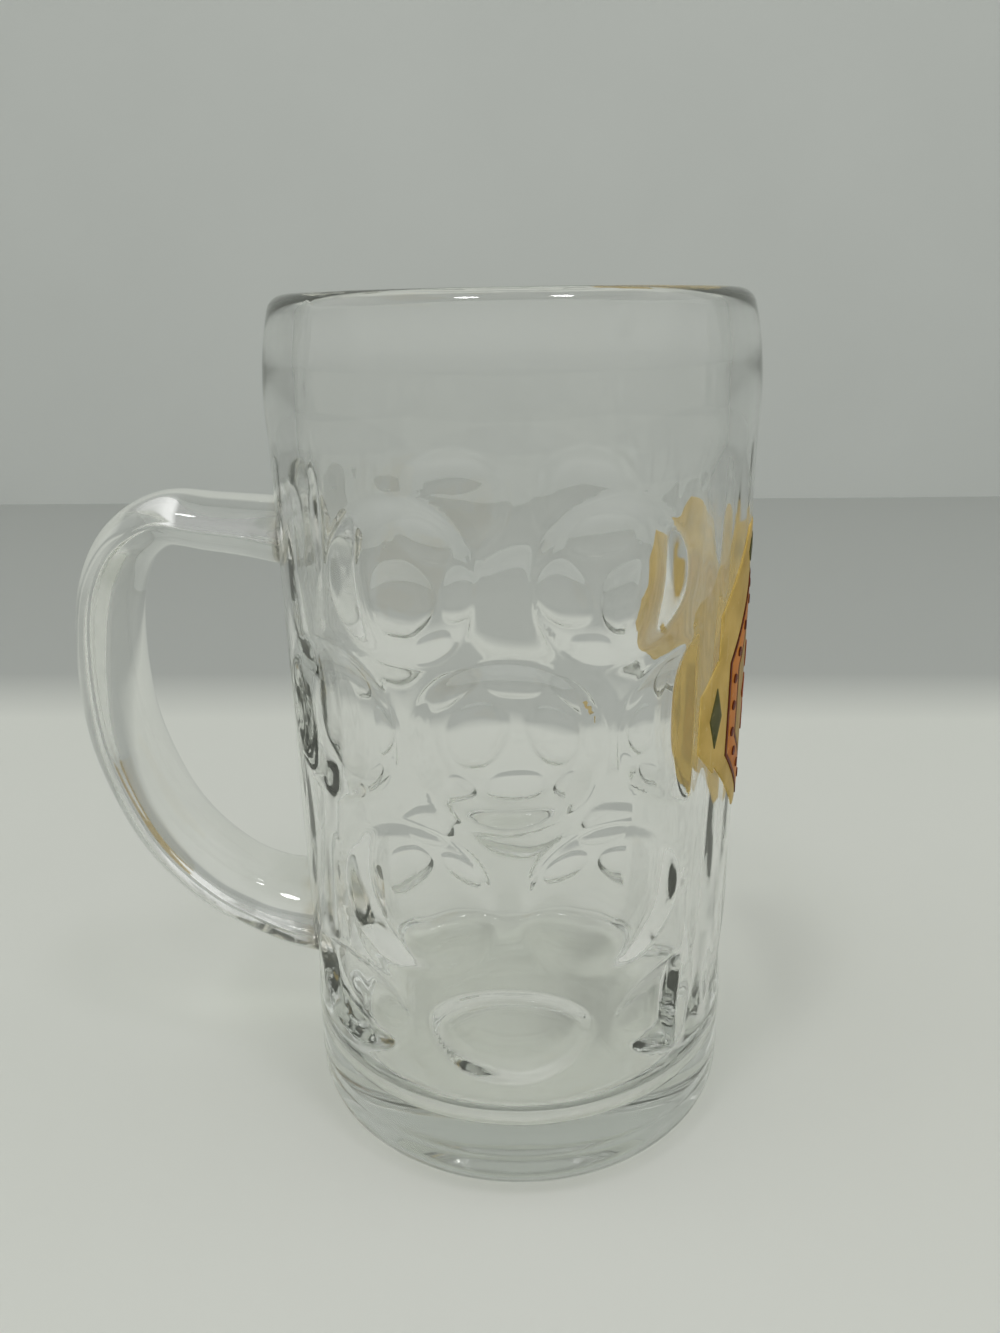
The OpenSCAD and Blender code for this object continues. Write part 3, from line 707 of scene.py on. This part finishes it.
def painted(name, colour, cloud, far_shade_colour=None):
    """Matt paint, faintly uneven in tone, with a painted shade of another tone at its far end if one is
    given.
    """
    material = bpy.data.materials.new(name)
    material.use_nodes = True
    tree = material.node_tree
    shader = tree.nodes["Principled BSDF"]
    place = tree.nodes.new("ShaderNodeTexCoord").outputs["Object"]
    tone = mixed(tree, noise(tree, PAINT_SCALE, PAINT_DETAIL, place), colour, cloud)
    # Painted shade: towards its far end the paint turns to the given shade colour
    if far_shade_colour:
        back = tree.nodes.new("ShaderNodeSeparateXYZ")
        tree.links.new(place, back.inputs["Vector"])
        tone = mixed(tree, span(tree, back.outputs["Y"], TABLE_LIT, TABLE_DARK, 0, 1), tone, far_shade_colour)
    tree.links.new(tone, shader.inputs["Base Color"])
    shader.inputs["Roughness"].default_value = PAINT_ROUGH
    shader.inputs["Specular IOR Level"].default_value = PAINT_GLOSS
    return material


def board(name, low, high, material):
    """A flat board between two corners, part of the stage."""
    maker = bmesh.new()
    bmesh.ops.create_cube(maker, size=1, matrix=Matrix.Translation((0.5, 0.5, 0.5)))
    low, high = Vector(low), Vector(high)
    bmesh.ops.scale(maker, vec=high - low, verts=maker.verts)
    bmesh.ops.translate(maker, vec=low, verts=maker.verts)
    mesh = bpy.data.meshes.new(name)
    maker.to_mesh(mesh)
    maker.free()
    mesh.materials.append(material)
    thing = bpy.data.objects.new(name, mesh)
    bpy.context.scene.collection.objects.link(thing)


# The table's last colour is the painted shade of its far end, in the wall's tone
table_paint = painted("table_paint", (0.72, 0.735, 0.685), (0.75, 0.76, 0.715), (0.455, 0.47, 0.45))
wall_paint = painted("wall_paint", (0.57, 0.59, 0.565), (0.61, 0.63, 0.605))
board("table", (-TABLE_HALF, -TABLE_HALF, -BOARD_T), (TABLE_HALF, ROOM_WALL_Y, -TABLE_DROP), table_paint)
board("room_wall", (-ROOM_WALL_HALF, ROOM_WALL_Y, -BOARD_T),
      (ROOM_WALL_HALF, ROOM_WALL_Y + BOARD_T, ROOM_WALL_H), wall_paint)

# Light: a soft grey room, darker towards the floor and overhead than at the height of its walls, and two
# small round lamps high in front. The glass mirrors the lamps, and doesn't show them through itself.
LOW_LIGHT, WALL_LIGHT, OVERHEAD_LIGHT = (0.30, 0.31, 0.295), (0.96, 0.97, 0.95), (0.40, 0.41, 0.395)
WALLS_FROM, WALLS_FULL, OVERHEAD_FROM, OVERHEAD_FULL = -0.1, 0.5, 0.7, 0.88
LAMP_AIM, LAMP_SIZE, LAMP_POWER = (0, 0.1, 0.1), 0.22, 3
world = bpy.data.worlds.new("room")
bpy.context.scene.world = world
world.use_nodes = True
# The room's light counts only where a ray ends in it, or the tinted shadows of the glass would count it twice
world.cycles.sampling_method = "NONE"
room = world.node_tree
direction = room.nodes.new("ShaderNodeTexCoord").outputs["Generated"]
steepness = room.nodes.new("ShaderNodeSeparateXYZ")
room.links.new(direction, steepness.inputs["Vector"])
walls_share = span(room, steepness.outputs["Z"], WALLS_FROM, WALLS_FULL, 0, 1)
overhead_share = span(room, steepness.outputs["Z"], OVERHEAD_FROM, OVERHEAD_FULL, 0, 1)
up_to_walls = mixed(room, walls_share, LOW_LIGHT, WALL_LIGHT)
room_light = mixed(room, overhead_share, up_to_walls, OVERHEAD_LIGHT)
room.links.new(room_light, room.nodes["Background"].inputs["Color"])


def lamp(name, place):
    """A round lamp at a place, turned to the mug."""
    light = bpy.data.lights.new(name, "AREA")
    light.shape = "DISK"
    light.size = LAMP_SIZE
    light.energy = LAMP_POWER
    thing = bpy.data.objects.new(name, light)
    thing.location = place
    thing.rotation_euler = (Vector(LAMP_AIM) - Vector(place)).to_track_quat("-Z", "Y").to_euler()
    thing.visible_transmission = False
    bpy.context.scene.collection.objects.link(thing)


lamp("ceiling_lamp", (-0.35, -0.55, 1.6))
lamp("second_lamp", (0.45, -0.5, 1.6))

# Camera at the photograph's place, close to the mug, a little below the height of its lip and looking down
PHOTO_H, FOCAL_PX, SENSOR = 1333, 1038.0, 36.0
DISTANCE, HEIGHT = 0.242, 0.1956
YAW, PITCH, ROLL, SWING = (math.radians(a) for a in (-0.87, 18.8, -0.955, 2.0))
forward = Vector((math.sin(YAW) * math.cos(PITCH), math.cos(YAW) * math.cos(PITCH), -math.sin(PITCH)))
level_right = Vector((math.cos(YAW), -math.sin(YAW), 0))
level_up = level_right.cross(forward)
right = math.cos(ROLL) * level_right + math.sin(ROLL) * level_up
up = math.cos(ROLL) * level_up - math.sin(ROLL) * level_right
lens = bpy.data.cameras.new("photo_camera")
lens.sensor_width = SENSOR
lens.lens = FOCAL_PX * SENSOR / PHOTO_H
lens.clip_start = 0.01
camera = bpy.data.objects.new("photo_camera", lens)
bpy.context.scene.collection.objects.link(camera)
axes = Matrix((right, up, -forward)).transposed().to_4x4()
camera.matrix_world = Matrix.Rotation(SWING, 4, "Z") @ Matrix.Translation((0, -DISTANCE, HEIGHT)) @ axes
bpy.context.scene.camera = camera
bpy.context.scene.view_settings.view_transform = "Standard"
# Thick glass traps light, which needs many bounces to find its way out
GLASS_BOUNCES, GLOSSY_BOUNCES = 96, 8
bpy.context.scene.cycles.max_bounces = GLASS_BOUNCES
bpy.context.scene.cycles.transmission_bounces = GLASS_BOUNCES
bpy.context.scene.cycles.glossy_bounces = GLOSSY_BOUNCES
